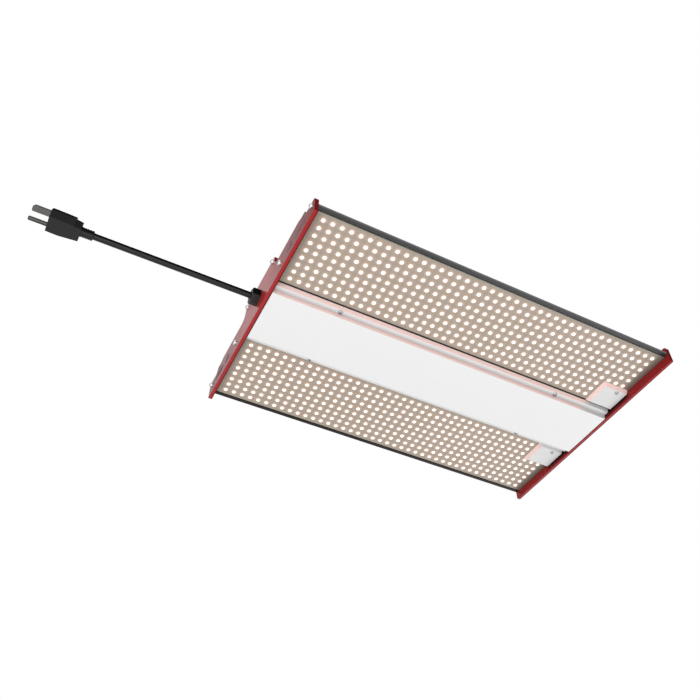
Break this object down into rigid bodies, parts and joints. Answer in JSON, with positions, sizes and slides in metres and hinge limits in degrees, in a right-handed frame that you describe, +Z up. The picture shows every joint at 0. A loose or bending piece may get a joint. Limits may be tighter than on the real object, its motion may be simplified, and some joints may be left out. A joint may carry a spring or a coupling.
{
  "type": "led grow light",
  "caption": "Finned LED panel light with two boards of round packages, a raised centre cover, end plates and a short power cord with a plug.",
  "frame": {"origin": "middle of the underside of the light's body, in the plane of the end plates' bottom edges", "axes": "+X along the light away from the cord, +Y across it, +Z up; the light boards shine down"},
  "size_m": [0.733, 0.312, 0.0528],
  "materials": {
    "red_gloss": "gloss enamel",
    "steel_screws": "bright plated",
    "black_anodised": "black anodised",
    "board_white": "satin solder mask",
    "led_yellow": "phosphor gel",
    "cover_white": "satin",
    "terminal_white": "satin",
    "gland_black": "satin moulded",
    "cord_black": "satin jacket",
    "plug_black": "moulded",
    "plated_blades": "nickel plated",
    "galvanised": "galvanised",
    "driver_silver": "bead blasted",
    "driver_cap_grey": "powder coat",
    "circuit_green": "solder mask",
    "component_dark": "moulded",
    "pad_grey": "soft pad",
    "connector_white": "moulded",
    "wire_red": "insulation",
    "wire_brown": "insulation",
    "wire_green": "insulation",
    "grommet_black": "soft",
    "lug_tin": "tinned"
  },
  "bodies": {
    "root": {"board_wires_front": "wire_red", "board_wires_rear": "wire_red", "centre_cover": "cover_white", "centre_cover_screws": "steel_screws", "cord_tail": "cord_black", "cover_standoffs": "galvanised", "driver_case": "driver_silver", "driver_circuit_board": "circuit_green", "driver_components": "component_dark", "driver_end_caps": "driver_cap_grey", "driver_housing": "black_anodised", "driver_screws": "steel_screws", "driver_tray": "galvanised", "earth_lug": "lug_tin", "earth_screw": "steel_screws", "earth_wire": "wire_green", "end_plate_cord_end": "red_gloss", "end_plate_far_end": "red_gloss", "end_plate_screws_cord_end": "steel_screws", "end_plate_screws_far_end": "steel_screws", "gland_body": "gland_black", "gland_cap": "gland_black", "gland_locknut": "gland_black", "gland_seal": "grommet_black", "heatsink_front": "black_anodised", "heatsink_rear": "black_anodised", "housing_screws": "steel_screws", "led_board_front": "board_white", "led_board_rear": "board_white", "led_packages_front": "led_yellow", "led_packages_rear": "led_yellow", "mains_wires": "wire_brown", "plug_blades": "plated_blades", "plug_body": "plug_black", "plug_boot": "plug_black", "plug_ground_pin": "plated_blades", "power_cord": "cord_black", "terminal_connector_front": "connector_white", "terminal_connector_rear": "connector_white", "terminal_cover_front": "terminal_white", "terminal_cover_rear": "terminal_white", "terminal_cover_screws": "steel_screws", "thermal_pad_front": "pad_grey", "thermal_pad_rear": "pad_grey", "wire_grommets": "grommet_black"}
  },
  "joints": []
}
